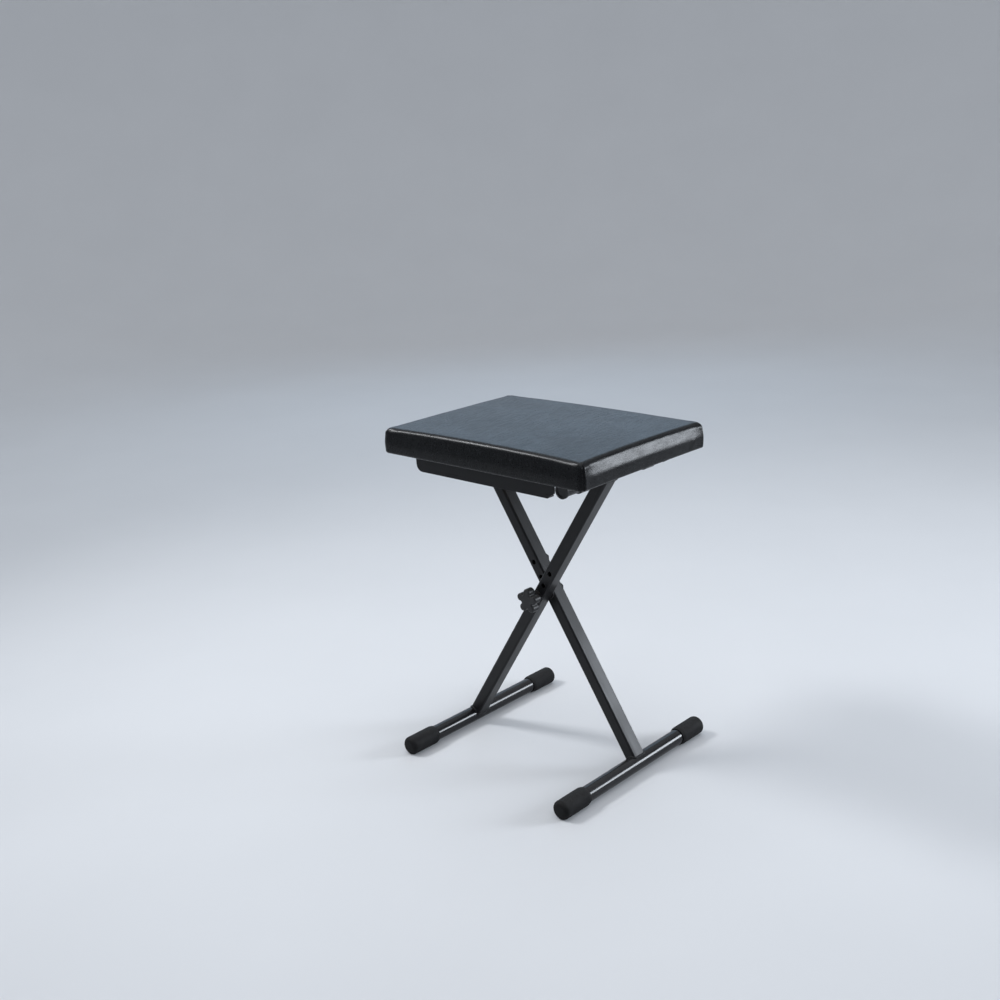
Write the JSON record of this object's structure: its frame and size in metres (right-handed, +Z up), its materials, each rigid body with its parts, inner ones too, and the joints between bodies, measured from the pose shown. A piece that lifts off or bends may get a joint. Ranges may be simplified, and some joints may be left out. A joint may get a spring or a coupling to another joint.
{
  "type": "folding keyboard bench",
  "caption": "Padded rectangular seat on crossed folding steel legs with a star knob at the pivot and rubber-capped round feet, for sitting at a keyboard.",
  "frame": {"origin": "on the floor under the middle of the seat, midway between the feet", "axes": "+X along the seat to the right, -Y towards the front with the knob, +Z up"},
  "size_m": [0.3996, 0.35, 0.54],
  "materials": {
    "vinyl": "black grained leatherette with a soft sheen",
    "foam": "open-cell cushion foam",
    "board": "raw plywood",
    "black_steel": "satin black powder coat",
    "zinc_steel": "bright zinc plate",
    "nylon": "black moulded nylon",
    "rubber": "matte black rubber",
    "knob_plastic": "black moulded plastic, lightly textured"
  },
  "bodies": {
    "seat": {"seat_cover": "vinyl", "seat_foam": "foam", "seat_board": "board", "cover_staples": "zinc_steel", "rail_front": "black_steel", "rail_back": "black_steel", "rail_screws": "zinc_steel", "hinge_saddle_front": "nylon", "hinge_saddle_back": "nylon", "hinge_strap_front": "black_steel", "hinge_strap_back": "black_steel", "strap_screws": "zinc_steel"},
    "front_leg": {"front_leg_tube": "black_steel", "hinge_bar": "black_steel", "hinge_bar_plugs": "nylon", "left_foot_tube": "black_steel", "left_foot_cap_front": "rubber", "left_foot_cap_back": "rubber"},
    "back_leg": {"back_leg_tube": "black_steel", "slide_bar": "black_steel", "slide_shoes": "nylon", "weld_nuts": "black_steel", "pivot_spacer": "nylon", "right_foot_tube": "black_steel", "right_foot_cap_front": "rubber", "right_foot_cap_back": "rubber"},
    "knob_washer": {"knob_washer": "nylon"},
    "knob": {"star_knob": "knob_plastic", "pivot_bolt": "zinc_steel"}
  },
  "joints": [
    {"name": "frame_fold", "type": "hinge", "parent": "seat", "child": "front_leg", "pos_m": [0.14, 0, 0.4834], "axis": [0, -1, 0], "range_deg": [0, 29]},
    {"name": "leg_scissor", "type": "hinge", "parent": "front_leg", "child": "back_leg", "pos_m": [0, 0, 0.26517], "axis": [0, 1, 0], "range_deg": [0, 58]},
    {"name": "knob_pull", "type": "slide", "parent": "back_leg", "child": "knob_washer", "axis": [0, -1, 0], "range_m": [0, 0.065]},
    {"name": "knob_turn", "type": "hinge", "parent": "knob_washer", "child": "knob", "pos_m": [0, 0, 0.26517], "axis": [0, -1, 0], "continuous": true}
  ],
  "couplings": [
    {"joint": "leg_scissor", "follows": "frame_fold", "ratio": 2}
  ]
}
